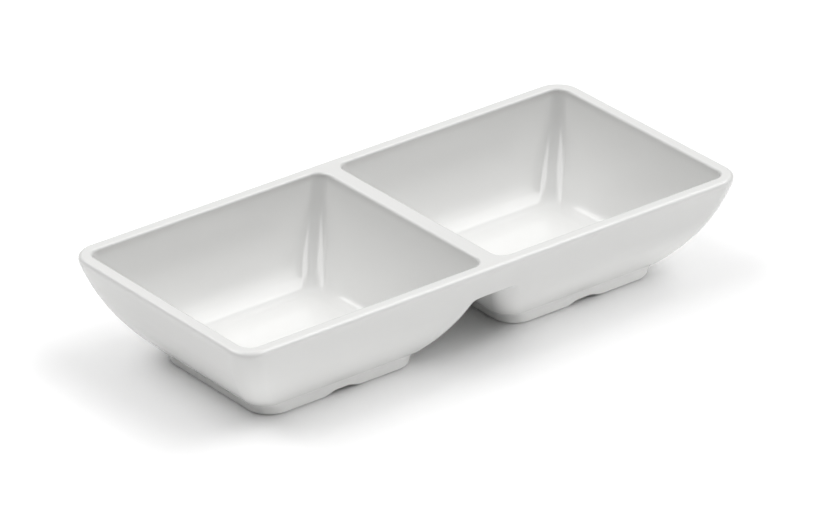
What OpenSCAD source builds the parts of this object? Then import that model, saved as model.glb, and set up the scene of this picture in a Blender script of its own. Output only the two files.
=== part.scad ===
// Two-well dip server: one white moulded dish, divided into its natural regions.
// Millimetres, +Z up, standing on z = 0, long side along X, front at -Y.

/* [Overall] */
// Length over the rim
length = 241; // [220:1:290]
// Width over the rim
width = 114; // [100:1:140]
// Height from the surface that the dish stands on to the top of the rim
height = 44; // [38:1:54]

/* [Rim] */
// Width of the flat rim round the wells
rim_width = 5.5; // [4.5:0.1:7]
// Height of the rim band above the curved walls
rim_height = 2.4; // [2.2:0.1:4]
// Radius of the rim's outer top edge
rim_edge_radius = 1.8; // [0.8:0.1:2]
// Corner radius of the rim's outline
rim_corner_radius = 10.7; // [9:0.1:16]

/* [Divider] */
// Width of the flat strip between the wells
divider_width = 7.7; // [6:0.1:12]
// Thickness of the web under the strip
web_thickness = 3.2; // [2:0.1:5]
// Depth of the web's lower edge below the rim's top
web_drop = 13.6; // [9:0.1:16]
// Height over which the arch rounds from the web into the bowls
arch_rise = 2; // [1:0.1:4]

/* [Bowls] */
// Thickness of the bowl walls, measured square to the wall
wall_thickness = 4.6; // [3.6:0.1:5.6]
// Swell of the end and side walls beyond a straight slope
wall_bulge = 2.5; // [1.5:0.1:4]
// Swell of the walls that face the other bowl
inner_side_bulge = 1.7; // [1:0.1:3]
// Corner radius of the bowl where it meets its foot
bowl_corner_radius = 8; // [6:0.1:12]
// Corner radius of the bowl beside the arch
arch_corner_radius = 9; // [7:0.1:12]
// Sideways run of the rounding where a wall turns under to the foot
turn_run = 2; // [1:0.1:3]
// Height of the rounding where a wall turns under to the foot
turn_height = 1.8; // [0.5:0.1:2.2]

/* [Wells] */
// Thickness of the well floors
floor_thickness = 4.5; // [3:0.1:5.5]
// Sideways run of the curve from a well's wall to its floor
floor_curve_run = 9; // [6:0.1:12]
// Height of the curve from a well's wall to its floor
floor_curve_height = 4.3; // [3:0.1:6]
// Corner radius of the well floors
floor_corner_radius = 7; // [4:0.1:10]

/* [Feet] */
// Outer length of each foot ring at its top
foot_length = 77.4; // [60:0.1:80]
// Outer width of each foot ring at its top
foot_width = 71.2; // [55:0.1:76]
// Offset of each ring's middle from its bowl's middle, towards the other ring
foot_offset = 1.5; // [0:0.1:2]
// Height of the foot rings
foot_height = 6.3; // [5:0.1:8]
// Width of each ring at its top
foot_ring_width = 6.5; // [6:0.1:8]
// Lean of the rings' outer faces, which step in as they go down
foot_taper = 1.3; // [0.5:0.1:1.5]
// Corner radius of the foot rings
foot_corner_radius = 8.5; // [8:0.1:12]
// Height of the hollow inside each foot ring
foot_recess = 3; // [1.5:0.1:4]
// Radius of the bottom edges of the foot rings
foot_edge_radius = 1.7; // [0.5:0.1:1.8]
// Ledge between a foot ring and the side walls
side_ledge = 0.1; // [0.1:0.1:2]
// Ledge between a foot ring and the end wall
end_ledge = 1.6; // [0.1:0.1:3]
// Ledge between a foot ring and the wall that faces the other bowl
arch_ledge = 1.4; // [0.5:0.1:4]

/* [Drain notches] */
// Width of a notch where it opens onto the surface
notch_width = 18.5; // [10:0.5:24]
// Width of the level top of a notch
notch_top_width = 5; // [3:0.5:8]
// Height of a notch
notch_height = 1.5; // [1:0.1:2]

/* [Hidden] */
$fn = 96;
glaze = "white";

// Steps round each corner, down each stretch of wall and along a notch's ramps.
corner_steps = 8;
upper_steps = 4;
arch_steps = 4;
lower_steps = 8;
turn_steps = 4;
well_steps = 12;
floor_steps = 5;
ramp_steps = 6;
overrun = 1;

// Plan sizes. A bowl lies between the middle plane, x = 0, and one end.
bowl_length = length / 2;
foot_x = bowl_length / 2 - foot_offset;
well_side = width / 2 - rim_width;
well_corner_radius = rim_corner_radius - rim_width;
plug_length = foot_length - 2 * foot_ring_width;
plug_width = foot_width - 2 * foot_ring_width;
plug_corner_radius = foot_corner_radius - foot_ring_width;

// Depths, all measured down from the rim's top.
wall_drop = height - rim_height - foot_height - turn_height;
arch_end = web_drop + arch_rise;
wall_end = rim_height + wall_drop;
well_depth = height - foot_recess - floor_thickness;
well_drop = well_depth - floor_curve_height - rim_height;

// A wall is a circular arc in section. It is given as [run, drop, bulge].
end_wall = [
    bowl_length - foot_x - foot_length / 2 - end_ledge - turn_run,
    wall_drop,
    wall_bulge
];
side_wall = [width / 2 - foot_width / 2 - side_ledge - turn_run, wall_drop, wall_bulge];
arch_wall = [foot_x - foot_length / 2 - arch_ledge - turn_run, wall_drop, inner_side_bulge];
end_well = well_wall(end_wall, rim_width);
side_well = well_wall(side_wall, rim_width);
arch_well = well_wall(arch_wall, divider_width / 2);

// Circular arc: radius, slope at its top, slope and inset at a distance below its top.
function arc_radius(w) = ((w[0] * w[0] + w[1] * w[1]) / 4 + w[2] * w[2]) / (2 * w[2]);
function arc_top_angle(w) = atan2(w[0], w[1]) - asin(norm([w[0], w[1]]) / 2 / arc_radius(w));
function arc_angle(w, down) = asin(down / arc_radius(w) + sin(arc_top_angle(w)));
function arc_inset(w, down) = arc_radius(w) * (cos(arc_top_angle(w)) - cos(arc_angle(w, down)));

// Inner face of a wall: parallel to the outer one, and it starts at the well's own edge.
function well_run(w, edge) =
    arc_inset(w, well_drop) + wall_thickness / cos(arc_angle(w, well_drop)) - edge;
function parallel_bulge(w, run) =
    (run * run + well_drop * well_drop) / (8 * (arc_radius(w) - wall_thickness));
function well_wall(w, edge) = [
    well_run(w, edge),
    well_drop,
    parallel_bulge(w, well_run(w, edge))
];

// Inset of an outer wall at a depth, and along the rounding that turns it under.
function wall_inset(w, depth) = arc_inset(w, max(0, depth - rim_height));
function bend(run, rise, slope, t) = 2 * t * (1 - t) * rise * tan(slope) + t * t * run;
function bend_depth(rise, t) = rise * (2 * t - t * t);
function turn_inset(w, t) =
    arc_inset(w, wall_drop) + bend(turn_run, turn_height, arc_angle(w, wall_drop), t);
function floor_inset(w, t) =
    arc_inset(w, well_drop)
    + bend(floor_curve_run, floor_curve_height, arc_angle(w, well_drop), t);

// One corner point of a ring. square = 1 gives a square corner and 0 a round one.
function corner_point(centre, radius, angle, square) =
    let (reach = 1 / max(abs(cos(angle)), abs(sin(angle))))
    centre + radius * (1 + square * (reach - 1)) * [cos(angle), sin(angle)];

// A closed ring of points at one height, for the right bowl. x0 is beside the arch.
function ring(x0, x1, y, z, r0, r1, square) = [
    for (corner = [0:3])
        let (
            low_x = corner == 1 || corner == 2,
            r = low_x ? r0 : r1,
            centre = [low_x ? x0 + r : x1 - r, corner < 2 ? y - r : r - y]
        )
        for (k = [0:corner_steps])
            let (
                angle = 90 * (corner + k / corner_steps),
                p = corner_point(centre, r, angle, low_x ? square : 0)
            )
            [p[0], p[1], z]
];

// Corner radii change evenly down the wall.
function mix(a, b, t) = a + (b - a) * t;
function end_radius(depth) =
    mix(rim_corner_radius, bowl_corner_radius, min(1, (depth - rim_height) / wall_drop));
function arch_radius(depth) =
    mix(arch_corner_radius, bowl_corner_radius, min(1, (depth - rim_height) / wall_drop));
function inner_radius(depth) =
    mix(well_corner_radius, floor_corner_radius, min(1, (depth - rim_height) / well_drop));

function outer_ring(depth, x0, square) =
    ring(
        x0,
        bowl_length - wall_inset(end_wall, depth),
        width / 2 - wall_inset(side_wall, depth),
        height - depth,
        arch_radius(depth),
        end_radius(depth),
        square
    );

upper_depths = [for (k = [0:upper_steps]) mix(rim_height, web_drop, k / upper_steps)];
upper_rings = [for (depth = upper_depths) outer_ring(depth, web_thickness / 2, 1)];
arch_rings = [
    for (k = [1:arch_steps])
        let (
            turn = 90 * k / arch_steps,
            depth = web_drop + arch_rise * (1 - cos(turn)),
            x0 = mix(web_thickness / 2, wall_inset(arch_wall, arch_end), sin(turn))
        )
        outer_ring(depth, x0, 1 - sin(turn))
];
lower_rings = [
    for (k = [1:lower_steps])
        let (depth = mix(arch_end, wall_end, k / lower_steps))
        outer_ring(depth, wall_inset(arch_wall, depth), 0)
];
turn_rings = [
    for (k = [1:turn_steps])
        let (t = k / turn_steps)
        ring(
            turn_inset(arch_wall, t),
            bowl_length - turn_inset(end_wall, t),
            width / 2 - turn_inset(side_wall, t),
            height - wall_end - bend_depth(turn_height, t),
            bowl_corner_radius,
            bowl_corner_radius,
            0
        )
];
plug_rings = [
    for (z = [foot_height, foot_recess])
        ring(
            foot_x - plug_length / 2,
            foot_x + plug_length / 2,
            plug_width / 2,
            z,
            plug_corner_radius,
            plug_corner_radius,
            0
        )
];
well_rings = [
    for (k = [0:well_steps])
        let (
            down = well_drop * k / well_steps,
            r = inner_radius(rim_height + down)
        )
        ring(
            divider_width / 2 + arc_inset(arch_well, down),
            bowl_length - rim_width - arc_inset(end_well, down),
            well_side - arc_inset(side_well, down),
            height - rim_height - down,
            r,
            r,
            0
        )
];
floor_rings = [
    for (k = [1:floor_steps])
        let (t = k / floor_steps)
        ring(
            divider_width / 2 + floor_inset(arch_well, t),
            bowl_length - rim_width - floor_inset(end_well, t),
            well_side - floor_inset(side_well, t),
            height - well_depth + floor_curve_height - bend_depth(floor_curve_height, t),
            floor_corner_radius,
            floor_corner_radius,
            0
        )
];

function backwards(list) = [for (k = [len(list) - 1:-1:0]) list[k]];
function ring_size() = 4 * (corner_steps + 1);

// Closed solid through a list of rings, capped at its first and last ring.
module loft(rings) {
    n = ring_size();
    last = len(rings) - 1;
    points = [for (r = rings) each r];
    sides = [
        for (j = [0:last - 1])
            for (i = [0:n - 1])
                let (
                    a = j * n + i,
                    b = j * n + (i + 1) % n,
                    c = (j + 1) * n + (i + 1) % n,
                    d = (j + 1) * n + i
                )
                each [[a, c, b], [a, d, c]]
    ];
    first_cap = [for (i = [0:n - 1]) i];
    last_cap = [for (i = [n - 1:-1:0]) last * n + i];
    polyhedron(points = points, faces = concat(sides, [first_cap], [last_cap]), convexity = 8);
}

// Sweeps a section round a rounded rectangle. The section's x is 0 on the outline.
module swept_ring(l, w, r) {
    for (quarter = [0:3]) {
        along_x = quarter % 2 == 0;
        side_length = (along_x ? l : w) - 2 * r;
        outward = (along_x ? w : l) / 2;
        rotate([0, 0, 90 * quarter])
            translate([0, outward, 0])
                rotate([90, 0, 90])
                    linear_extrude(height = side_length, center = true) children();
        rotate([0, 0, 90 * quarter])
            translate([side_length / 2, outward - r, 0])
                rotate_extrude(angle = 90)
                    translate([r, 0]) children();
    }
}

// Section of the rim: flat on top, with a round outer edge.
module rim_section() {
    flat = rim_width - rim_edge_radius;
    translate([-rim_width, -rim_height]) square([flat, rim_height]);
    translate([-rim_edge_radius, -rim_height])
        square([rim_edge_radius, rim_height - rim_edge_radius]);
    intersection() {
        translate([-rim_edge_radius, -rim_edge_radius]) circle(rim_edge_radius);
        translate([-rim_edge_radius, -rim_edge_radius]) square(rim_edge_radius);
    }
}

module rim() {
    color(glaze)
        translate([0, 0, height])
            swept_ring(length, width, rim_corner_radius) rim_section();
}

// Plan of the strip between the wells, with a fillet into the rim at each corner.
module divider_plan() {
    square([divider_width, 2 * well_side], center = true);
    fillet = well_corner_radius;
    for (sx = [0, 1], sy = [0, 1])
        mirror([sx, 0]) mirror([0, sy])
            difference() {
                translate([divider_width / 2, well_side - fillet]) square(fillet);
                translate([divider_width / 2 + fillet, well_side - fillet]) circle(fillet);
            }
}

// Outline of the web seen from the end: its two edges follow the side walls.
module web_outline() {
    edge = [
        for (depth = upper_depths)
            [width / 2 - wall_inset(side_wall, depth), height - depth]
    ];
    polygon(concat(edge, backwards([for (p = edge) [-p[0], p[1]]])));
}

module divider() {
    color(glaze) {
        translate([0, 0, height - rim_height]) linear_extrude(rim_height) divider_plan();
        rotate([90, 0, 90])
            linear_extrude(height = web_thickness, center = true) web_outline();
    }
}

module bowl() {
    outside = concat(upper_rings, arch_rings, lower_rings, turn_rings, plug_rings);
    loft(concat(backwards(outside), well_rings, floor_rings));
}

module right_bowl() {
    color(glaze) bowl();
}

module left_bowl() {
    color(glaze) mirror([1, 0, 0]) bowl();
}

// Section of a foot ring: its outer face leans in, and both bottom edges are round.
module foot_section() {
    e = foot_edge_radius;
    outer = -foot_taper;
    inner = -foot_ring_width;
    polygon([[inner, e], [outer, e], [0, foot_height], [inner, foot_height]]);
    translate([inner + e, 0]) square([outer - inner - 2 * e, e]);
    for (x = [outer - e, inner + e])
        translate([x, e]) circle(e);
}

// Outline of the notch that is cut through the front and the back of a foot ring.
module notch_outline() {
    ramp = (notch_width - notch_top_width) / 2;
    left = [
        for (k = [0:ramp_steps])
            let (t = k / ramp_steps)
            [ramp * t - notch_width / 2, notch_height * (1 - cos(180 * t)) / 2]
    ];
    right = backwards([for (p = left) [-p[0], p[1]]]);
    below = [[notch_width / 2, -overrun], [-notch_width / 2, -overrun]];
    polygon(concat(left, right, below));
}

module foot(x) {
    difference() {
        translate([x, 0, 0])
            swept_ring(foot_length, foot_width, foot_corner_radius) foot_section();
        translate([x, 0, 0])
            rotate([90, 0, 0])
                linear_extrude(height = foot_width + 2 * overrun, center = true)
                    notch_outline();
    }
}

module left_foot() {
    color(glaze) foot(-foot_x);
}

module right_foot() {
    color(glaze) foot(foot_x);
}

rim();
divider();
left_bowl();
right_bowl();
left_foot();
right_foot();
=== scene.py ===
"""Two-well dip server: the finished look of a white moulded dish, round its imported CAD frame."""

import logging
import math
from collections.abc import Callable, Sequence
from dataclasses import dataclass, field
from enum import Enum

import bpy
from mathutils import Matrix, Vector


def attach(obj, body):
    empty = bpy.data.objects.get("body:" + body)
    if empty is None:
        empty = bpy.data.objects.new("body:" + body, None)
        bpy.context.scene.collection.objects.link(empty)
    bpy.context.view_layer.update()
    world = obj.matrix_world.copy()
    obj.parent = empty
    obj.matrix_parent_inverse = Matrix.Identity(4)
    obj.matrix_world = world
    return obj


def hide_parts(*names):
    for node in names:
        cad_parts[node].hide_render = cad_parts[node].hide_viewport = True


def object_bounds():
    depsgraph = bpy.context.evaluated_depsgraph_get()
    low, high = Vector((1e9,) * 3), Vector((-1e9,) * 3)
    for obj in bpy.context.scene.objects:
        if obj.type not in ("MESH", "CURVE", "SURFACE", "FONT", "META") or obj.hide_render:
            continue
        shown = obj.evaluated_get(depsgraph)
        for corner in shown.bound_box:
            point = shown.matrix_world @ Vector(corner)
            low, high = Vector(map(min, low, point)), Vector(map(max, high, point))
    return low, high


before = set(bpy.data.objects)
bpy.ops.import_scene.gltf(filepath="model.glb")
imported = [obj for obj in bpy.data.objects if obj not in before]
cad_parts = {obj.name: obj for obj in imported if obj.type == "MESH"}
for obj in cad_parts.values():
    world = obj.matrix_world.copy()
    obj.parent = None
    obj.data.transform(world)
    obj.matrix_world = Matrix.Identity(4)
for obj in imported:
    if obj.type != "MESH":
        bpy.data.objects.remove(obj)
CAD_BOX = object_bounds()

Point = tuple[float, float, float]
Row = list[Point]

MM = 0.001
BODY = "root"

log = logging.getLogger("dip_server")


class Half(Enum):
    """The two mirrored halves of the dish."""

    LEFT = -1
    RIGHT = 1


class Seen(Enum):
    """Whether a face is part of the dish's skin or is shut in between two pieces."""

    SKIN = "skin"
    INSIDE = "inside"


class Maths(Enum):
    """The two ways in which brightnesses are put together."""

    ADD = "ADD"
    MULTIPLY = "MULTIPLY"


def mix(a: float, b: float, t: float) -> float:
    """Returns the value a fraction t of the way from a to b."""
    return a + (b - a) * t


def ease(t: float) -> float:
    """Returns t in 0 to 1, with level ends."""
    t = min(1.0, max(0.0, t))
    return t * t * (3 - 2 * t)


def spread(a: float, b: float, steps: int) -> list[float]:
    """Returns steps + 1 even values from a to b."""
    return [mix(a, b, k / steps) for k in range(steps + 1)]


def opposite(point: Point) -> Point:
    """Returns the point on the other half of the dish, mirrored in the plane x = 0."""
    return (-point[0], point[1], point[2])


def mirrored(points: Sequence[Point]) -> Row:
    """Returns a face's points on the other half, turned so that it still faces outwards."""
    return [opposite(point) for point in reversed(points)]


def turned(points: Sequence[Point]) -> Row:
    """Returns a face's points moved from the back to the front, so that it still faces outwards."""
    return [(x, -y, z) for x, y, z in reversed(points)]


@dataclass(frozen=True)
class WallArc:
    """A wall whose section is a circular arc that starts steep and leans in as it goes down.

    Sizes are in millimetres: the sideways run, the drop, and the swell beyond a straight slope.
    """

    run: float
    drop: float
    bulge: float

    @property
    def radius(self) -> float:
        """Radius of the arc."""
        return ((self.run**2 + self.drop**2) / 4 + self.bulge**2) / (2 * self.bulge)

    @property
    def top_angle(self) -> float:
        """Lean of the wall at its top, from vertical."""
        chord = math.hypot(self.run, self.drop)
        return math.atan2(self.run, self.drop) - math.asin(chord / 2 / self.radius)

    def angle(self, down: float) -> float:
        """Returns the lean of the wall at a distance below its top."""
        return math.asin(down / self.radius + math.sin(self.top_angle))

    def inset(self, down: float) -> float:
        """Returns how far the wall has moved in at a distance below its top."""
        return self.radius * (math.cos(self.top_angle) - math.cos(self.angle(down)))

    def turn_inset(self, t: float, height: float, run: float) -> float:
        """Returns the inset of the curve that turns level below the wall.

        Args:
            t: 0 at the end of the wall and 1 at the end of the curve.
            height: Height of the curve.
            run: How far the curve reaches in from the end of the wall.

        Returns:
            The inset from the wall's top.
        """
        lean = math.tan(self.angle(self.drop))
        return self.inset(self.drop) + 2 * t * (1 - t) * height * lean + t * t * run

    def parallel(self, thickness: float, edge: float, drop: float) -> "WallArc":
        """Returns the inner face of this wall.

        Args:
            thickness: Wall thickness, square to the wall.
            edge: Distance from the outer face to the inner one at the top.
            drop: Drop of the inner face.

        Returns:
            The arc of the inner face.
        """
        run = self.inset(drop) + thickness / math.cos(self.angle(drop)) - edge
        bulge = (run * run + drop * drop) / (8 * (self.radius - thickness))
        return WallArc(run, drop, bulge)


@dataclass(frozen=True)
class SoftWall:
    """A wall that leaves a vertical edge in a short blend before it follows its arc."""

    arc: WallArc
    arc_start: float
    blend_start: float
    blend_end: float

    def inset(self, depth: float) -> float:
        """Returns how far the wall has moved in at a depth below the rim's top."""
        if depth <= self.blend_start:
            return 0.0
        if depth >= self.blend_end:
            return self.arc.inset(depth - self.arc_start)
        end = self.arc.inset(self.blend_end - self.arc_start)
        knee = self.blend_end - end / math.tan(self.arc.angle(self.blend_end - self.arc_start))
        a = self.blend_start - 2 * knee + self.blend_end
        b = 2 * (knee - self.blend_start)
        c = self.blend_start - depth
        t = (-b + math.sqrt(b * b - 4 * a * c)) / (2 * a)
        return t * t * end


@dataclass(frozen=True)
class Outline:
    """A rounded rectangle in plan, between x0 and x1 and from -y to y, at one height.

    The corners at x0 may be square: square is 1 for square corners and 0 for round ones, and
    recess pulls those corners' edges in towards y = 0.
    """

    x0: float
    x1: float
    y: float
    z: float
    r0: float
    r1: float
    square: float = 0.0
    recess: float = 0.0

    def corner(self, number: int, steps: int) -> Row:
        """Returns the points round one corner, counter-clockwise.

        Args:
            number: 0 at the back of x1, 1 at the back of x0, 2 at the front of x0, 3 at the
                front of x1.
            steps: Number of steps round the corner.

        Returns:
            steps + 1 points.
        """
        low = number in (1, 2)
        r = self.r0 if low else self.r1
        cx = self.x0 + r if low else self.x1 - r
        side = 1 if number < 2 else -1
        points = []
        for k in range(steps + 1):
            angle = math.pi / 2 * (number + k / steps)
            c, s = math.cos(angle), math.sin(angle)
            reach = 1.0
            pull = 0.0
            if low:
                nearer = min(abs(c), abs(s)) / math.sqrt(0.5)
                reach = mix(1.0, 1 / max(abs(c), abs(s)), self.square)
                pull = self.recess * ease(nearer)
            x = cx + r * reach * c
            y = side * (self.y - r) + r * reach * s - side * pull
            points.append((x, y, self.z))
        return points

    def points(self, steps: int) -> Row:
        """Returns all the points of the outline, counter-clockwise from the x1 side."""
        return [p for number in range(4) for p in self.corner(number, steps)]

    def end_points(self, steps: int) -> Row:
        """Returns the points round the x1 end only, from front to back."""
        return self.corner(3, steps) + self.corner(0, steps)

    def low_points(self, steps: int) -> Row:
        """Returns the points round the x0 end only, from back to front."""
        return self.corner(1, steps) + self.corner(2, steps)


@dataclass
class Skin:
    """The whole surface of the dish, gathered face by face, so that its pieces share one shading.

    Every face belongs to one named piece. Normals are worked out across the pieces' borders, so
    no border shows on the finished dish.
    """

    smooth_limit: float = math.radians(60)
    keys_per_mm: float = 1e5
    points: Row = field(default_factory=list)
    index: dict[tuple[int, int, int], int] = field(default_factory=dict)
    faces: list[tuple[int, ...]] = field(default_factory=list)
    owners: list[str] = field(default_factory=list)
    seen: list[Seen] = field(default_factory=list)
    normals: list[list[Vector]] = field(default_factory=list)

    def vertex(self, point: Point) -> int:
        """Returns the number of the vertex at a point, and makes it if it is new."""
        key = tuple(round(c * self.keys_per_mm) for c in point)
        if key not in self.index:
            self.index[key] = len(self.points)
            self.points.append(point)
        return self.index[key]

    def face(self, piece: str, points: Sequence[Point], seen: Seen = Seen.SKIN) -> None:
        """Adds one face, with its points counter-clockwise as seen from outside.

        Args:
            piece: Name of the piece that the face belongs to.
            points: Corners of the face, in millimetres.
            seen: Whether the face is part of the dish's skin.
        """
        corners: list[int] = []
        for p in points:
            v = self.vertex(p)
            if v not in corners:
                corners.append(v)
        if len(corners) >= 3:
            self.faces.append(tuple(corners))
            self.owners.append(piece)
            self.seen.append(seen)

    def strips(
        self,
        piece: str,
        rows: Sequence[Row],
        closed: bool = True,
        seen: Seen | Callable[[int], Seen] = Seen.SKIN,
        half: Half = Half.RIGHT,
    ) -> None:
        """Joins each row of points to the next one with quads.

        Args:
            piece: Name of the piece.
            rows: The rows, counter-clockwise, from the middle of the well outwards and then down
                the outside.
            closed: Whether the rows close on themselves.
            seen: One answer for all the quads, or a function of a quad's number in its strip.
            half: The half to make; the rows are always given for the right half.
        """
        for first, second in zip(rows, rows[1:]):
            n = len(first)
            for i in range(n if closed else n - 1):
                j = (i + 1) % n
                quad = [first[i], second[i], second[j], first[j]]
                if half is Half.LEFT:
                    quad = mirrored(quad)
                self.face(piece, quad, seen(i) if callable(seen) else seen)

    def shade(self) -> None:
        """Works out a normal for every face corner, weighted by area and blind to the borders."""
        spots = [Vector(p) for p in self.points]
        flat: list[Vector] = []
        areas: list[float] = []
        around: list[list[int]] = [[] for _ in spots]
        for f, corners in enumerate(self.faces):
            total = Vector((0, 0, 0))
            origin = spots[corners[0]]
            for a, b in zip(corners[1:], corners[2:]):
                total += (spots[a] - origin).cross(spots[b] - origin)
            areas.append(total.length / 2)
            flat.append(total.normalized())
            if self.seen[f] is Seen.SKIN:
                for v in corners:
                    around[v].append(f)
        limit = math.cos(self.smooth_limit)
        for f, corners in enumerate(self.faces):
            if self.seen[f] is Seen.INSIDE:
                self.normals.append([flat[f]] * len(corners))
                continue
            own = flat[f]
            corner_normals = []
            for v in corners:
                total = Vector((0, 0, 0))
                for g in around[v]:
                    if flat[g].dot(own) > limit:
                        total += flat[g] * areas[g]
                corner_normals.append(total.normalized())
            self.normals.append(corner_normals)

    def make(self, piece: str, name: str) -> bpy.types.Object:
        """Makes the finished Blender object of one piece.

        Args:
            piece: Name that the piece's faces were added under.
            name: Name of the new object.

        Returns:
            The new object, in metres, with its own normals.
        """
        numbers = [f for f, owner in enumerate(self.owners) if owner == piece]
        local: dict[int, int] = {}
        for f in numbers:
            for v in self.faces[f]:
                local.setdefault(v, len(local))
        mesh = bpy.data.meshes.new(name)
        mesh.from_pydata(
            [tuple(c * MM for c in self.points[v]) for v in local],
            [],
            [[local[v] for v in self.faces[f]] for f in numbers],
        )
        mesh.polygons.foreach_set("use_smooth", [True] * len(mesh.polygons))
        mesh.normals_split_custom_set([n for f in numbers for n in self.normals[f]])
        mesh.update()
        obj = bpy.data.objects.new(name, mesh)
        bpy.context.scene.collection.objects.link(obj)
        return obj


@dataclass(frozen=True)
class DishSizes:
    """The sizes that the pieces share, in millimetres.

    Depths go down from the rim's top. The foot's length and width are those of the ring's top.
    """

    length: float
    width: float
    height: float
    rim_width: float = 5.5
    rim_height: float = 2.4
    rim_radius: float = 1.8
    rim_corner: float = 10.7
    lip_radius: float = 1.2
    divider_width: float = 7.7
    web_half: float = 1.6
    web_drop: float = 13.6
    wall_thickness: float = 4.6
    wall_bulge: float = 2.5
    inner_bulge: float = 1.7
    bowl_corner: float = 8.0
    arch_corner: float = 9.0
    turn_run: float = 2.0
    turn_height: float = 1.8
    floor_level: float = 7.5
    floor_run: float = 9.0
    floor_rise: float = 4.3
    floor_corner: float = 7.0
    foot_length: float = 77.4
    foot_width: float = 71.2
    foot_height: float = 6.3
    foot_ring: float = 6.5
    foot_corner: float = 8.5
    foot_offset: float = 1.5
    foot_recess: float = 3.0
    side_ledge: float = 0.1
    end_ledge: float = 1.6
    end_flare: float = 1.5
    arch_ledge: float = 1.4
    corner_steps: int = 20

    @property
    def half_length(self) -> float:
        """Distance from the middle plane to an end of the dish."""
        return self.length / 2

    @property
    def foot_x(self) -> float:
        """Distance from the middle plane to the middle of a foot ring."""
        return self.length / 4 - self.foot_offset

    @property
    def wall_drop(self) -> float:
        """Drop of the outer walls below the rim."""
        return self.height - self.rim_height - self.foot_height - self.turn_height

    @property
    def wall_end(self) -> float:
        """Depth where the outer walls turn under."""
        return self.rim_height + self.wall_drop

    @property
    def well_drop(self) -> float:
        """Drop of the well's walls below the rim."""
        return self.height - self.floor_level - self.floor_rise - self.rim_height

    @property
    def well_corner(self) -> float:
        """Corner radius of the well at the rim."""
        return self.rim_corner - self.rim_width

    def outer_arcs(self) -> tuple[WallArc, WallArc, WallArc]:
        """Returns the outer walls: the end, the side, and the one that faces the other bowl."""
        reach = self.foot_length / 2 + self.turn_run
        end = self.half_length - self.foot_x - reach - self.end_ledge
        side = (self.width - self.foot_width) / 2 - self.side_ledge - self.turn_run
        arch = self.foot_x - reach - self.arch_ledge
        return (
            WallArc(end, self.wall_drop, self.wall_bulge),
            WallArc(side, self.wall_drop, self.wall_bulge),
            WallArc(arch, self.wall_drop, self.inner_bulge),
        )

    def foot_outline(
        self, inset: float, z: float, growth: float = 0.0, flare: float = 0.0
    ) -> Outline:
        """Returns a foot ring's outline at a height.

        Args:
            inset: How far the outline stands inside the ring's top edge.
            z: Height above the surface that the dish stands on.
            growth: How much the corner radius has grown.
            flare: How much further out the outline reaches at the dish's end.

        Returns:
            The outline.
        """
        radius = self.foot_corner - inset + growth
        return Outline(
            x0=self.foot_x - self.foot_length / 2 + inset,
            x1=self.foot_x + self.foot_length / 2 - inset + flare,
            y=self.foot_width / 2 - inset,
            z=z,
            r0=radius,
            r1=radius,
        )

    def web_columns(self) -> list[float]:
        """Returns the x of each column of points between the web and the straight front wall."""
        steps = self.corner_steps
        start = self.web_half + self.arch_corner
        return [
            start - self.arch_corner * math.tan(math.pi / 2 * k / steps)
            for k in range(steps // 2 + 1)
        ]


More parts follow.
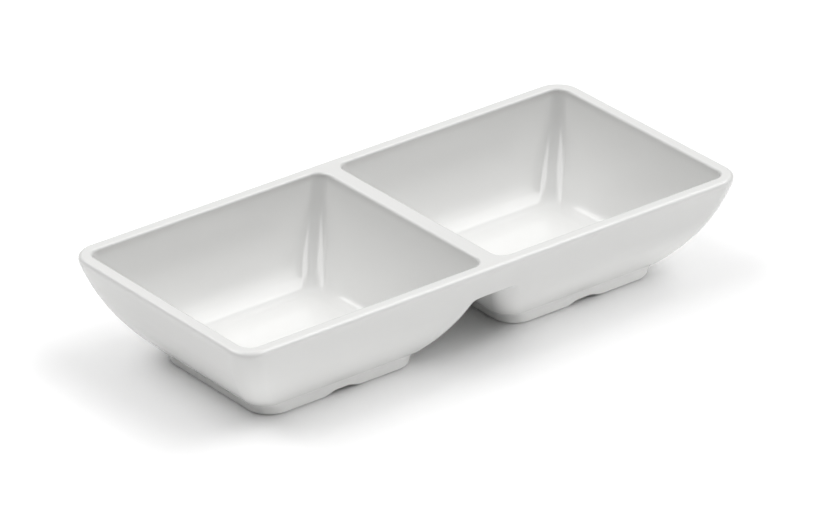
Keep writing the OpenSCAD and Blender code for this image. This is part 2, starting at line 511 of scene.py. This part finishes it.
@dataclass(frozen=True)
class OuterSkin:
    """The outside of the right half: the rows of points that the rim, web and bowl all use.

    Below the rim's round edge a blend leads to the walls: blend_row is the depth of its first row
    of points, and blend_end is where it ends.
    """

    sizes: DishSizes
    blend_row: float = 2.1
    blend_end: float = 4.0
    web_edge: float = 0.7
    web_fillet: float = 2.4
    upper_depths: tuple[float, ...] = (2.4, 2.8, 3.2, 3.6, 4.0, 5.8, 7.6, 9.4, 11.2, 12.9)
    edge_steps: int = 6
    fillet_steps: int = 9
    lower_steps: int = 13
    turn_steps: int = 9
    round_steps: int = 10

    def wall_insets(self, depth: float) -> tuple[float, float, float]:
        """Returns the insets of the end, side and arch walls at a depth."""
        s = self.sizes
        end, side, arch = s.outer_arcs()
        soft = [SoftWall(a, s.rim_height, s.rim_radius, self.blend_end) for a in (end, side)]
        return (
            soft[0].inset(depth),
            soft[1].inset(depth),
            arch.inset(max(0.0, depth - s.rim_height)),
        )

    def corner_radius(self, top: float, depth: float) -> float:
        """Returns a corner's radius at a depth, from its radius at the rim."""
        s = self.sizes
        return mix(top, s.bowl_corner, ease((depth - s.rim_height) / s.wall_drop))

    def outline(
        self, depth: float, x0: float, square: float = 0.0, recess: float = 0.0
    ) -> Outline:
        """Returns the bowl's outline at a depth, from x0 beside the arch to the dish's end."""
        s = self.sizes
        end, side, _ = self.wall_insets(depth)
        return Outline(
            x0=x0,
            x1=s.half_length - end,
            y=s.width / 2 - side,
            z=s.height - depth,
            r0=self.corner_radius(s.arch_corner, depth),
            r1=self.corner_radius(s.rim_corner, depth),
            square=square,
            recess=recess,
        )

    def rim_outlines(self) -> list[Outline]:
        """Returns the rim's outside, from its flat top over its round edge to its lower border."""
        s = self.sizes
        outlines = []
        for angle in spread(0, math.pi / 2, self.round_steps):
            e = s.rim_radius * (1 - math.sin(angle))
            depth = s.rim_radius * (1 - math.cos(angle))
            outlines.append(
                Outline(
                    x0=0,
                    x1=s.half_length - e,
                    y=s.width / 2 - e,
                    z=s.height - depth,
                    r0=0,
                    r1=s.rim_corner - e,
                )
            )
        return outlines + [self.outline(depth, 0.0) for depth in (self.blend_row, s.rim_height)]

    def upper_outlines(self) -> list[Outline]:
        """Returns the outlines from the rim down to the web's lower edge, square at the web."""
        s = self.sizes
        outlines = [self.outline(d, s.web_half, square=1.0) for d in self.upper_depths]
        start = s.web_drop - self.web_edge
        for angle in spread(0, math.pi / 2, self.edge_steps)[1:]:
            depth = start + self.web_edge * math.sin(angle)
            recess = self.web_edge * (1 - math.cos(angle))
            outlines.append(self.outline(depth, s.web_half, square=1.0, recess=recess))
        return outlines

    def lower_outlines(self) -> list[Outline]:
        """Returns the outlines from under the web down to the end of the walls."""
        s = self.sizes
        outlines = []
        for angle in spread(0, math.pi / 2, self.fillet_steps)[1:]:
            depth = s.web_drop + self.web_fillet * (1 - math.cos(angle))
            x0 = mix(s.web_half, self.wall_insets(depth)[2], math.sin(angle))
            square = 1 - math.sin(angle)
            outlines.append(self.outline(depth, x0, square, self.web_edge * square))
        start = s.web_drop + self.web_fillet
        for depth in spread(start, s.wall_end, self.lower_steps)[1:]:
            outlines.append(self.outline(depth, self.wall_insets(depth)[2]))
        return outlines

    def turn_outlines(self) -> list[Outline]:
        """Returns the outlines of the rounding that turns the walls under to the foot."""
        s = self.sizes
        outlines = []
        for t in spread(0, 1, self.turn_steps)[1:]:
            insets = [a.turn_inset(t, s.turn_height, s.turn_run) for a in s.outer_arcs()]
            depth = s.wall_end + s.turn_height * (2 * t - t * t)
            outlines.append(
                Outline(
                    x0=insets[2],
                    x1=s.half_length - insets[0],
                    y=s.width / 2 - insets[1],
                    z=s.height - depth,
                    r0=s.bowl_corner,
                    r1=s.bowl_corner,
                )
            )
        return outlines


@dataclass(frozen=True)
class WellSkin:
    """The inside of the right well: its lip, its walls and the curve to its floor."""

    sizes: DishSizes
    blend_end: float = 3.6
    blend_depths: tuple[float, ...] = (1.6, 2.0, 2.4)
    upper_depths: tuple[float, ...] = (2.8, 3.2, 3.6)
    wall_steps: int = 18
    floor_steps: int = 14
    lip_steps: int = 8

    def arcs(self) -> tuple[WallArc, WallArc, WallArc]:
        """Returns the well's walls: the end, the side, and the one beside the divider."""
        s = self.sizes
        end, side, arch = s.outer_arcs()
        return (
            end.parallel(s.wall_thickness, s.rim_width, s.well_drop),
            side.parallel(s.wall_thickness, s.rim_width, s.well_drop),
            arch.parallel(s.wall_thickness, s.divider_width / 2, s.well_drop),
        )

    def outline(
        self, insets: Sequence[float], depth: float, radius: float, grow: float = 0.0
    ) -> Outline:
        """Returns the well's outline.

        Args:
            insets: Insets of the end, side and divider walls from the well's edge.
            depth: Depth below the rim's top.
            radius: Corner radius before it grows.
            grow: How far the outline stands outside the well's edge.

        Returns:
            The outline at that depth.
        """
        s = self.sizes
        return Outline(
            x0=s.divider_width / 2 + insets[2] - grow,
            x1=s.half_length - s.rim_width - insets[0] + grow,
            y=s.width / 2 - s.rim_width - insets[1] + grow,
            z=s.height - depth,
            r0=radius + grow,
            r1=radius + grow,
        )

    def wall_outline(self, depth: float) -> Outline:
        """Returns the outline of the well's walls at a depth."""
        s = self.sizes
        insets = [
            SoftWall(a, s.rim_height, s.lip_radius, self.blend_end).inset(depth)
            for a in self.arcs()
        ]
        t = ease((depth - s.rim_height) / s.well_drop)
        return self.outline(insets, depth, mix(s.well_corner, s.floor_corner, t))

    def lip_outlines(self) -> list[Outline]:
        """Returns the lip's outlines, from its lower border up to the flat top."""
        s = self.sizes
        outlines = [self.wall_outline(d) for d in reversed(self.blend_depths)]
        for angle in spread(math.pi / 2, 0, self.lip_steps):
            grow = s.lip_radius * (1 - math.sin(angle))
            depth = s.lip_radius * (1 - math.cos(angle))
            outlines.append(self.outline((0, 0, 0), depth, s.well_corner, grow))
        return outlines

    def well_outlines(self) -> list[Outline]:
        """Returns the well's outlines from its floor up to the lip's lower border."""
        s = self.sizes
        outlines = []
        for t in spread(1, 0, self.floor_steps)[:-1]:
            insets = [a.turn_inset(t, s.floor_rise, s.floor_run) for a in self.arcs()]
            z = s.floor_level + s.floor_rise * (1 - t) ** 2
            outlines.append(self.outline(insets, s.height - z, s.floor_corner))
        start = self.upper_depths[-1]
        depths = spread(s.rim_height + s.well_drop, start, self.wall_steps)
        depths += list(reversed(self.upper_depths[:-1]))
        depths.append(s.rim_height)
        return outlines + [self.wall_outline(d) for d in depths]


@dataclass(frozen=True)
class GlossyMoulding:
    """The dish's finish: smooth glossy white moulded plastic.

    Colours are linear. Wave heights are in metres.
    """

    name: str = "glossy_white_moulding"
    light: tuple[float, float, float] = (0.70, 0.70, 0.69)
    shade: tuple[float, float, float] = (0.68, 0.68, 0.67)
    roughness: tuple[float, float] = (0.08, 0.12)
    specular: float = 0.42
    coat: float = 0.12
    coat_roughness: float = 0.05
    tint_scale: float = 18.0
    tint_detail: float = 3.0
    polish_scale: float = 90.0
    polish_detail: float = 4.0
    polish_range: tuple[float, float] = (0.3, 0.7)
    wave_scale: float = 22.0
    wave_detail: float = 1.0
    wave_height: float = 0.00004
    grain_scale: float = 1400.0
    grain_detail: float = 2.0
    grain_height: float = 0.0000012

    def material(self) -> bpy.types.Material:
        """Returns the finish as a node material, and makes it the first time."""
        found = bpy.data.materials.get(self.name)
        if found:
            return found
        material = bpy.data.materials.new(self.name)
        material.use_nodes = True
        tree = material.node_tree
        tree.nodes.clear()
        place = tree.nodes.new("ShaderNodeTexCoord")
        shader = tree.nodes.new("ShaderNodeBsdfPrincipled")
        output = tree.nodes.new("ShaderNodeOutputMaterial")
        tree.links.new(shader.outputs["BSDF"], output.inputs["Surface"])
        shader.inputs["Specular IOR Level"].default_value = self.specular
        shader.inputs["Coat Weight"].default_value = self.coat
        shader.inputs["Coat Roughness"].default_value = self.coat_roughness

        tint = self.noise(tree, place, self.tint_scale, self.tint_detail)
        blend = tree.nodes.new("ShaderNodeMix")
        blend.data_type = "RGBA"
        blend.inputs["A"].default_value = (*self.shade, 1)
        blend.inputs["B"].default_value = (*self.light, 1)
        tree.links.new(tint.outputs["Fac"], blend.inputs["Factor"])
        tree.links.new(blend.outputs["Result"], shader.inputs["Base Color"])

        polish = self.noise(tree, place, self.polish_scale, self.polish_detail)
        level = tree.nodes.new("ShaderNodeMapRange")
        for side, ends in (("From", self.polish_range), ("To", self.roughness)):
            level.inputs[f"{side} Min"].default_value = ends[0]
            level.inputs[f"{side} Max"].default_value = ends[1]
        tree.links.new(polish.outputs["Fac"], level.inputs["Value"])
        tree.links.new(level.outputs["Result"], shader.inputs["Roughness"])

        wave = self.bump(tree, place, self.wave_scale, self.wave_detail, self.wave_height)
        grain = self.bump(tree, place, self.grain_scale, self.grain_detail, self.grain_height)
        tree.links.new(wave.outputs["Normal"], grain.inputs["Normal"])
        tree.links.new(grain.outputs["Normal"], shader.inputs["Normal"])
        return material

    def noise(
        self, tree: bpy.types.NodeTree, place: bpy.types.Node, scale: float, detail: float
    ) -> bpy.types.Node:
        """Adds a noise texture in the object's own space and returns it."""
        node = tree.nodes.new("ShaderNodeTexNoise")
        node.inputs["Scale"].default_value = scale
        node.inputs["Detail"].default_value = detail
        tree.links.new(place.outputs["Object"], node.inputs["Vector"])
        return node

    def bump(
        self,
        tree: bpy.types.NodeTree,
        place: bpy.types.Node,
        scale: float,
        detail: float,
        height: float,
    ) -> bpy.types.Node:
        """Adds a bump node over a noise of its own and returns it."""
        source = self.noise(tree, place, scale, detail)
        node = tree.nodes.new("ShaderNodeBump")
        node.inputs["Strength"].default_value = 1.0
        node.inputs["Distance"].default_value = height
        tree.links.new(source.outputs["Fac"], node.inputs["Height"])
        return node


@dataclass
class Piece:
    """What every piece of the dish has: the CAD node it stands for, and how it is finished."""

    sizes: DishSizes
    skin: Skin
    node: str = ""
    finish: GlossyMoulding = field(default_factory=GlossyMoulding)

    def lay(self) -> None:
        """Adds the piece's faces to the shared skin."""
        raise NotImplementedError

    def both(self, face: Row, seen: Seen) -> None:
        """Adds a face at the back and the same face at the front."""
        self.skin.face(self.node, face, seen)
        self.skin.face(self.node, turned(face), seen)

    def dress(self) -> bpy.types.Object:
        """Makes the piece's object, gives it its finish, and ties it to the frame."""
        piece = self.skin.make(self.node, f"{self.node}_glazed")
        piece.data.materials.append(self.finish.material())
        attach(piece, BODY)
        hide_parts(self.node)
        count = len(piece.data.polygons)
        log.info("%s stands for %s, with %d faces", piece.name, self.node, count)
        return piece


@dataclass
class Rim(Piece):
    """The flat lip round both wells, with a round outer edge and a softer inner one."""

    node: str = "rim"

    def lay(self) -> None:
        """Adds the rim: its outer edge, flat top, inner lips and shut-in faces."""
        s = self.sizes
        outer = OuterSkin(s).rim_outlines()
        lips = WellSkin(s).lip_outlines()
        outer_rows = [self.outer_row(o) for o in outer]
        lip_rows = [self.lip_row(o) for o in lips]
        for half in Half:
            self.skin.strips(self.node, outer_rows, closed=False, half=half)
            self.skin.strips(self.node, lip_rows, closed=False, half=half)
            self.flat(outer_rows[0], lip_rows[-1], half, Seen.SKIN)
            self.flat(outer_rows[-1], lip_rows[0], half, Seen.INSIDE)
        for a, b in zip(outer_rows, outer_rows[1:]):
            self.both([a[-1], b[-1], opposite(b[-1]), opposite(a[-1])], Seen.SKIN)
        self.middle(outer_rows[0], outer_rows[-1], lip_rows)

    def outer_row(self, outline: Outline) -> Row:
        """Returns the rim's outside from the web's front, round the end, to the web's back."""
        columns = self.sizes.web_columns()
        back = [(x, outline.y, outline.z) for x in columns]
        front = [(x, -outline.y, outline.z) for x in reversed(columns)]
        return front + outline.end_points(self.sizes.corner_steps) + back

    def lip_row(self, outline: Outline) -> Row:
        """Returns the lip's row round the end, between the divider's two corners."""
        start = (outline.x0 + outline.r0, -outline.y, outline.z)
        end = (outline.x0 + outline.r0, outline.y, outline.z)
        return [start] + outline.end_points(self.sizes.corner_steps) + [end]

    def flat(self, outer: Row, lip: Row, half: Half, seen: Seen) -> None:
        """Adds the flat ring between an outer row and a lip row on one half."""
        skip = len(self.sizes.web_columns()) - 1
        ring = outer[skip : len(outer) - skip]
        rows = (lip, ring) if seen is Seen.SKIN else (ring, lip)
        self.skin.strips(self.node, rows, closed=False, seen=seen, half=half)

    def middle(self, top: Row, bottom: Row, lips: list[Row]) -> None:
        """Adds the rim's faces beside the ends of the divider.

        Args:
            top: The outer row of the flat top.
            bottom: The outer row of the underside.
            lips: The lip's rows, from its lower border up.
        """
        count = len(self.sizes.web_columns())
        high, low = lips[-1][-1], lips[0][-1]
        under = (high[0], high[1], low[2])
        upper = top[-count:]
        self.both([high, *upper, *mirrored(upper), opposite(high)], Seen.SKIN)
        lower = bottom[-count:]
        base = [low, under, opposite(under), opposite(low)]
        base += [opposite(point) for point in lower] + list(reversed(lower))
        self.both(base, Seen.INSIDE)
        self.both([high, opposite(high), opposite(under), under], Seen.INSIDE)
        section = [under] + [row[-1] for row in lips]
        self.both(section, Seen.INSIDE)
        self.both(mirrored(section), Seen.INSIDE)


@dataclass
class Divider(Piece):
    """The flat strip between the wells, and the thin web under it that the arch ends at."""

    node: str = "divider"

    def lay(self) -> None:
        """Adds the divider: its two lips, flat top, web and shut-in faces."""
        s = self.sizes
        steps = s.corner_steps
        lips = [o.low_points(steps) for o in WellSkin(s).lip_outlines()]
        for half in Half:
            self.skin.strips(self.node, lips, closed=False, half=half)
        self.across(lips[-1], up=True)
        self.underside(lips)
        self.web(lips[-1][0][1])

    def across(self, row: Row, up: bool) -> None:
        """Adds the quads that join a row on the right to the same row on the left."""
        for a, b in zip(row, row[1:]):
            quad = [a, opposite(a), opposite(b), b]
            self.skin.face(self.node, quad if up else list(reversed(quad)))

    def underside(self, lips: list[Row]) -> None:
        """Adds the shut-in faces under the strip and at its two ends."""
        w = self.sizes.web_half
        high, low = lips[-1][0], lips[0][0]
        x, y, z = high[0], high[1], low[2]
        base = [(w, y, z), (x, y, z), *lips[0], (x, -y, z), (w, -y, z)]
        self.skin.face(self.node, base, Seen.INSIDE)
        self.skin.face(self.node, mirrored(base), Seen.INSIDE)
        end = [high, (x, y, z), (w, y, z), (-w, y, z), (-x, y, z), (-x, y, high[2])]
        section = [row[0] for row in reversed(lips)] + [(x, y, z)]
        for face in (end, section, mirrored(section)):
            self.both(face, Seen.INSIDE)

    def web(self, strip_end: float) -> None:
        """Adds the web.

        Args:
            strip_end: Distance from the middle of the dish to the end of the flat strip.
        """
        s = self.sizes
        steps = s.corner_steps
        middle = steps // 2
        rows = [o.low_points(steps) for o in OuterSkin(s).upper_outlines()]
        first, last = middle, 2 * (steps + 1) - 1 - middle
        edge = [row[first] for row in rows]
        for a, b in zip(edge, edge[1:]):
            self.both([a, b, opposite(b), opposite(a)], Seen.SKIN)
        ceiling = rows[-1][first : last + 1]
        self.across(ceiling, up=False)
        w, y, z = edge[0]
        self.both([(w, strip_end, z), (w, y, z), (-w, y, z), (-w, strip_end, z)], Seen.INSIDE)
        front = [(x, -y, z) for x, y, z in edge]
        side = [(w, strip_end, z), (w, -strip_end, z), *front]
        side += list(reversed(ceiling))[1:] + list(reversed(edge))[1:]
        self.skin.face(self.node, side, Seen.INSIDE)
        self.skin.face(self.node, mirrored(side), Seen.INSIDE)


@dataclass
class Bowl(Piece):
    """One bowl: the well's walls and floor, the outer walls, and the plug inside the foot ring."""

    half: Half = Half.RIGHT

    def lay(self) -> None:
        """Adds the bowl, from the middle of the well's floor over the top and down to its base."""
        s = self.sizes
        steps = s.corner_steps
        outer = OuterSkin(s)
        well = [o.points(steps) for o in WellSkin(s).well_outlines()]
        upper = [o.points(steps) for o in outer.upper_outlines()]
        lower = [o.points(steps) for o in outer.lower_outlines() + outer.turn_outlines()]
        self.cap(well[0])
        self.rows(well)
        self.rows([well[-1], upper[0]], Seen.INSIDE)
        self.rows(upper, self.beside_web)
        self.rows([upper[-1], *lower])
        foot = s.foot_outline(0.0, s.foot_height, flare=s.end_flare).points(steps)
        plug = [
            s.foot_outline(s.foot_ring, z).points(steps) for z in (s.foot_height, s.foot_recess)
        ]
        self.rows([lower[-1], foot])
        self.rows([foot, *plug], Seen.INSIDE)
        self.cap(list(reversed(plug[-1])))

    def beside_web(self, i: int) -> Seen:
        """Returns whether a quad of the upper wall is shut in against the web."""
        n = self.sizes.corner_steps
        start = n + 1 + n // 2
        return Seen.INSIDE if start <= i < 2 * (n + 1) + n // 2 else Seen.SKIN

    def rows(self, rows: list[Row], seen: Seen | Callable[[int], Seen] = Seen.SKIN) -> None:
        """Joins each row to the next."""
        self.skin.strips(self.node, rows, seen=seen, half=self.half)

    def cap(self, row: Row) -> None:
        """Closes a row with one flat face."""
        self.skin.face(self.node, row if self.half is Half.RIGHT else mirrored(row))


@dataclass
class FootRing(Piece):
    """A low foot ring with a shallow drain notch at its front and its back.

    A cove leads down from the bowl to the outside, which leans in by the taper to a round edge.
    """

    half: Half = Half.RIGHT
    edge_radius: float = 1.7
    edge_steps: int = 9
    taper: float = 1.3
    cove_end: float = 2.6
    cove_steps: int = 8
    corner_growth: float = 3.6
    notch_width: float = 18.5
    notch_top: float = 5.0
    notch_height: float = 1.5
    notch_steps: int = 28

    def notch(self, x: float) -> float:
        """Returns how high the notch lifts the ring's bottom, at x from the ring's middle."""
        ramp = (self.notch_width - self.notch_top) / 2
        t = min(1.0, max(0.0, (self.notch_width / 2 - abs(x)) / ramp))
        return self.notch_height * (1 - math.cos(math.pi * t)) / 2

    def outlines(self) -> list[Outline]:
        """Returns the ring's outlines, down the outside and up the inside."""
        s = self.sizes
        e = self.edge_radius
        growth = self.corner_growth
        outlines = []
        for t in spread(0, 1, self.cove_steps)[:-1]:
            level = s.foot_height - t * (s.foot_height - e - self.cove_end) - t * t * self.cove_end
            lean = (1 - t) ** 2
            inset = self.taper * (1 - lean)
            outlines.append(s.foot_outline(inset, level, growth * t, s.end_flare * lean))
        turn = spread(0, math.pi / 2, self.edge_steps)
        for a in turn:
            inset = self.taper + e * (1 - math.cos(a))
            outlines.append(s.foot_outline(inset, e * (1 - math.sin(a)), growth))
        for a in turn:
            inset = s.foot_ring - e * (1 - math.sin(a))
            outlines.append(s.foot_outline(inset, e * (1 - math.cos(a))))
        for z in (s.foot_recess, s.foot_height):
            outlines.append(s.foot_outline(s.foot_ring, z))
        return outlines

    def row(self, outline: Outline) -> Row:
        """Returns the points of one of the ring's outlines, with the notches in it."""
        s = self.sizes
        z = outline.z
        n = s.corner_steps
        half = self.notch_width / 2
        across = spread(-half, half, self.notch_steps)
        lift = 1 - z / s.foot_height
        front = [(s.foot_x + x, -outline.y, z + self.notch(x) * lift) for x in across]
        back = [(x, -y, h) for x, y, h in reversed(front)]
        corners = [outline.corner(number, n) for number in range(4)]
        return corners[0] + back + corners[1] + corners[2] + front + corners[3]

    def lay(self) -> None:
        """Adds the ring, with a shut-in top face against the bowl."""
        rows = [self.row(outline) for outline in self.outlines()]
        self.skin.strips(self.node, rows, half=self.half)
        self.skin.strips(self.node, [rows[-1], rows[0]], seen=Seen.INSIDE, half=self.half)


@dataclass(frozen=True)
class ViewCamera:
    """The camera: a long lens, three quarters from the front left and well above the dish.

    Angles are in degrees and lengths in millimetres, but the clip distances are in metres.
    """

    azimuth: float = -37.03
    elevation: float = 26.92
    roll: float = -1.14
    target: Point = (-26.25, -34.98, 44.0)
    distance: float = 2596.0
    lens: float = 300.9
    sensor: float = 36.0
    clip: tuple[float, float] = (0.1, 50.0)

    def build(self) -> bpy.types.Object:
        """Makes the camera and sets it as the scene's camera."""
        a, e, r = (math.radians(v) for v in (self.azimuth, self.elevation, self.roll))
        back = Vector((math.sin(a) * math.cos(e), -math.cos(a) * math.cos(e), math.sin(e)))
        level = Vector((math.cos(a), math.sin(a), 0.0))
        rise = back.cross(level)
        right = math.cos(r) * level + math.sin(r) * rise
        up = math.cos(r) * rise - math.sin(r) * level
        data = bpy.data.cameras.new("view_camera")
        data.lens = self.lens
        data.sensor_width = self.sensor
        data.clip_start, data.clip_end = self.clip
        camera = bpy.data.objects.new("view_camera", data)
        place = (Vector(self.target) + back * self.distance) * MM
        turn = Matrix((right, up, back)).transposed().to_4x4()
        camera.matrix_world = Matrix.Translation(place) @ turn
        bpy.context.scene.collection.objects.link(camera)
        bpy.context.scene.camera = camera
        return camera


@dataclass(frozen=True)
class SoftPanel:
    """A broad panel of soft studio light a long way from the dish.

    Angles are in degrees. The azimuth is 0 at the dish's front and 90 at its right end, and the
    elevations are above the floor.
    """

    azimuth: float
    low: float
    high: float
    strength: float
    half_width: float = 45.0
    softness: float = 5.0

    def level(
        self, tree: bpy.types.NodeTree, height: bpy.types.NodeSocket, heading: bpy.types.NodeSocket
    ) -> bpy.types.NodeSocket:
        """Adds the nodes that work out the panel's brightness in each direction.

        Args:
            tree: The room's node tree.
            height: The direction's upward part.
            heading: The direction in plan, of length 1.

        Returns:
            The socket that gives the brightness.
        """
        soft = self.softness
        rise = self.ramp(tree, height, self.low, soft, (0.0, 1.0))
        fall = self.ramp(tree, height, self.high, soft, (1.0, 0.0))
        side = tree.nodes.new("ShaderNodeVectorMath")
        side.operation = "DOT_PRODUCT"
        turn = math.radians(self.azimuth)
        side.inputs[1].default_value = (math.sin(turn), -math.cos(turn), 0.0)
        tree.links.new(heading, side.inputs[0])
        across = tree.nodes.new("ShaderNodeMapRange")
        across.interpolation_type = "SMOOTHSTEP"
        across.inputs["From Min"].default_value = math.cos(math.radians(self.half_width + soft))
        across.inputs["From Max"].default_value = math.cos(math.radians(self.half_width - soft))
        across.inputs["To Max"].default_value = self.strength
        tree.links.new(side.outputs["Value"], across.inputs["Value"])
        band = self.join(tree, Maths.MULTIPLY, rise, fall)
        return self.join(tree, Maths.MULTIPLY, band, across.outputs["Result"])

    @staticmethod
    def ramp(
        tree: bpy.types.NodeTree,
        height: bpy.types.NodeSocket,
        elevation: float,
        softness: float,
        ends: tuple[float, float],
    ) -> bpy.types.NodeSocket:
        """Adds a smooth step at an elevation, between two brightnesses."""
        node = tree.nodes.new("ShaderNodeMapRange")
        node.interpolation_type = "SMOOTHSTEP"
        node.inputs["From Min"].default_value = math.sin(math.radians(elevation - softness))
        node.inputs["From Max"].default_value = math.sin(math.radians(elevation + softness))
        node.inputs["To Min"].default_value, node.inputs["To Max"].default_value = ends
        tree.links.new(height, node.inputs["Value"])
        return node.outputs["Result"]

    @staticmethod
    def join(
        tree: bpy.types.NodeTree,
        operation: Maths,
        first: bpy.types.NodeSocket,
        second: bpy.types.NodeSocket,
    ) -> bpy.types.NodeSocket:
        """Adds a maths node over two sockets and returns its output."""
        node = tree.nodes.new("ShaderNodeMath")
        node.operation = operation.value
        tree.links.new(first, node.inputs[0])
        tree.links.new(second, node.inputs[1])
        return node.outputs["Value"]


@dataclass(frozen=True)
class LowStrip:
    """A long low strip light near the floor, which fills the shade on the dish's feet.

    Sizes are in metres, the angles in degrees and the power in watts.
    """

    name: str = "low_strip"
    azimuth: float = 20.0
    reach: float = 0.24
    height: float = 0.005
    size: tuple[float, float] = (0.34, 0.008)
    spread: float = 17.0
    power: float = 0.0105

    def build(self) -> bpy.types.Object:
        """Makes the light, level and facing the dish."""
        data = bpy.data.lights.new(self.name, "AREA")
        data.shape = "RECTANGLE"
        data.size, data.size_y = self.size
        data.spread = math.radians(self.spread)
        data.energy = self.power
        light = bpy.data.objects.new(self.name, data)
        turn = math.radians(self.azimuth)
        light.location = (self.reach * math.sin(turn), -self.reach * math.cos(turn), self.height)
        light.rotation_euler = (math.pi / 2, 0.0, turn)
        light.visible_glossy = False
        bpy.context.scene.collection.objects.link(light)
        return light


@dataclass(frozen=True)
class Studio:
    """The plain pale floor and the soft panels round it."""

    floor_half: float = 4.0
    floor_colour: tuple[float, float, float] = (0.95, 0.95, 0.95)
    floor_roughness: float = 0.9
    top_level: float = 0.95
    top_elevation: float = 65.0
    top_softness: float = 6.0
    panels: tuple[SoftPanel, ...] = (
        SoftPanel(azimuth=53.0, low=40.0, high=65.0, strength=5.5),
        SoftPanel(azimuth=233.0, low=40.0, high=65.0, strength=5.4),
        SoftPanel(azimuth=143.0, low=40.0, high=65.0, strength=1.5),
        SoftPanel(azimuth=-37.0, low=40.0, high=65.0, strength=0.6),
        SoftPanel(azimuth=143.0, low=20.0, high=40.0, strength=0.55),
        SoftPanel(azimuth=53.0, low=20.0, high=40.0, strength=0.6),
        SoftPanel(azimuth=30.0, low=0.0, high=9.0, strength=0.9, softness=4.0),
    )

    def floor(self) -> bpy.types.Object:
        """Makes the floor."""
        h = self.floor_half
        mesh = bpy.data.meshes.new("studio_floor")
        mesh.from_pydata([(-h, -h, 0), (h, -h, 0), (h, h, 0), (-h, h, 0)], [], [(0, 1, 2, 3)])
        floor = bpy.data.objects.new("studio_floor", mesh)
        material = bpy.data.materials.new("studio_floor")
        material.use_nodes = True
        shader = material.node_tree.nodes["Principled BSDF"]
        shader.inputs["Base Color"].default_value = (*self.floor_colour, 1)
        shader.inputs["Roughness"].default_value = self.floor_roughness
        shader.inputs["Specular IOR Level"].default_value = 0.0
        mesh.materials.append(material)
        bpy.context.scene.collection.objects.link(floor)
        return floor

    def room(self) -> None:
        """Makes the light of the room from its panels."""
        world = bpy.data.worlds.new("studio_room")
        bpy.context.scene.world = world
        world.use_nodes = True
        tree = world.node_tree
        tree.nodes.clear()
        place = tree.nodes.new("ShaderNodeTexCoord")
        split = tree.nodes.new("ShaderNodeSeparateXYZ")
        flat = tree.nodes.new("ShaderNodeVectorMath")
        flat.operation = "MULTIPLY"
        flat.inputs[1].default_value = (1.0, 1.0, 0.0)
        heading = tree.nodes.new("ShaderNodeVectorMath")
        heading.operation = "NORMALIZE"
        background = tree.nodes.new("ShaderNodeBackground")
        output = tree.nodes.new("ShaderNodeOutputWorld")
        tree.links.new(place.outputs["Generated"], split.inputs["Vector"])
        tree.links.new(place.outputs["Generated"], flat.inputs[0])
        tree.links.new(flat.outputs["Vector"], heading.inputs[0])
        height = split.outputs["Z"]
        ends = (0.0, self.top_level)
        total = SoftPanel.ramp(tree, height, self.top_elevation, self.top_softness, ends)
        for panel in self.panels:
            level = panel.level(tree, height, heading.outputs["Vector"])
            total = SoftPanel.join(tree, Maths.ADD, total, level)
        tree.links.new(total, background.inputs["Strength"])
        tree.links.new(background.outputs["Background"], output.inputs["Surface"])

    def build(self) -> None:
        """Makes the whole studio."""
        self.floor()
        self.room()
        LowStrip().build()
        bpy.context.scene.view_settings.view_transform = "Standard"


def main() -> None:
    """Builds the camera, the studio and the dish's pieces."""
    logging.basicConfig(level=logging.INFO, format="%(name)s: %(message)s")
    ViewCamera().build()
    Studio().build()
    low, high = (Vector(corner) / MM for corner in CAD_BOX)
    size = high - low
    sizes = DishSizes(length=size.x, width=size.y, height=size.z)
    skin = Skin()
    pieces: list[Piece] = [
        Rim(sizes, skin),
        Divider(sizes, skin),
        Bowl(sizes, skin, node="left_bowl", half=Half.LEFT),
        Bowl(sizes, skin, node="right_bowl", half=Half.RIGHT),
        FootRing(sizes, skin, node="left_foot", half=Half.LEFT),
        FootRing(sizes, skin, node="right_foot", half=Half.RIGHT),
    ]
    for piece in pieces:
        piece.lay()
    skin.shade()
    for piece in pieces:
        piece.dress()


if __name__ == "__main__":
    main()
